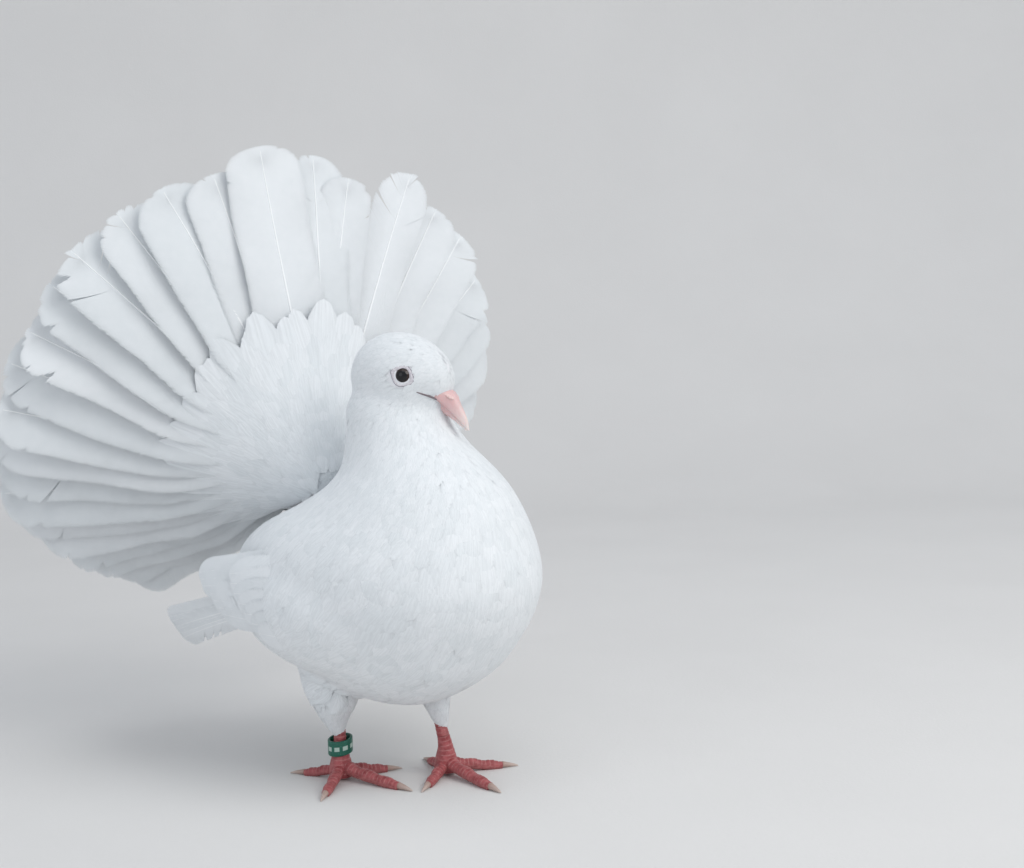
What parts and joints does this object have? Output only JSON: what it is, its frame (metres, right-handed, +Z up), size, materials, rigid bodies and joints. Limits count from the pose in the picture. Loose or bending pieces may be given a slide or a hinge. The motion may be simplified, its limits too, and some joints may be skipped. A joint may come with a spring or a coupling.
{
  "type": "fantail pigeon figure",
  "caption": "Life-size still model of a white fantail pigeon standing with its tail spread in a full upright fan, for display.",
  "frame": {"origin": "on the floor under the middle of the bird's bounding box", "axes": "+Z up, the bird faces -Y and its right side is -X"},
  "size_m": [0.229, 0.2276, 0.261],
  "materials": {
    "plumage": "matte soft white body feathers",
    "flight_feathers": "matte white flight and tail feathers with a faint sheen",
    "bill": "smooth pale pink horn",
    "eye": "wet dark gloss",
    "leg": "red scaly skin",
    "claw": "pale horn",
    "leg_ring": "smooth dark green plastic"
  },
  "bodies": {
    "root": {"bill_lower": "bill", "bill_upper": "bill", "claw_hind_left": "claw", "claw_hind_right": "claw", "claw_inner_left": "claw", "claw_inner_right": "claw", "claw_middle_left": "claw", "claw_middle_right": "claw", "claw_outer_left": "claw", "claw_outer_right": "claw", "eye_left": "eye", "eye_right": "eye", "foot_left": "leg", "foot_right": "leg", "head": "plumage", "leg_ring": "leg_ring", "neck": "plumage", "shank_left": "leg", "shank_right": "leg", "tail": "flight_feathers", "thigh_left": "plumage", "thigh_right": "plumage", "torso": "plumage", "wing_left": "flight_feathers", "wing_right": "flight_feathers"}
  },
  "joints": []
}
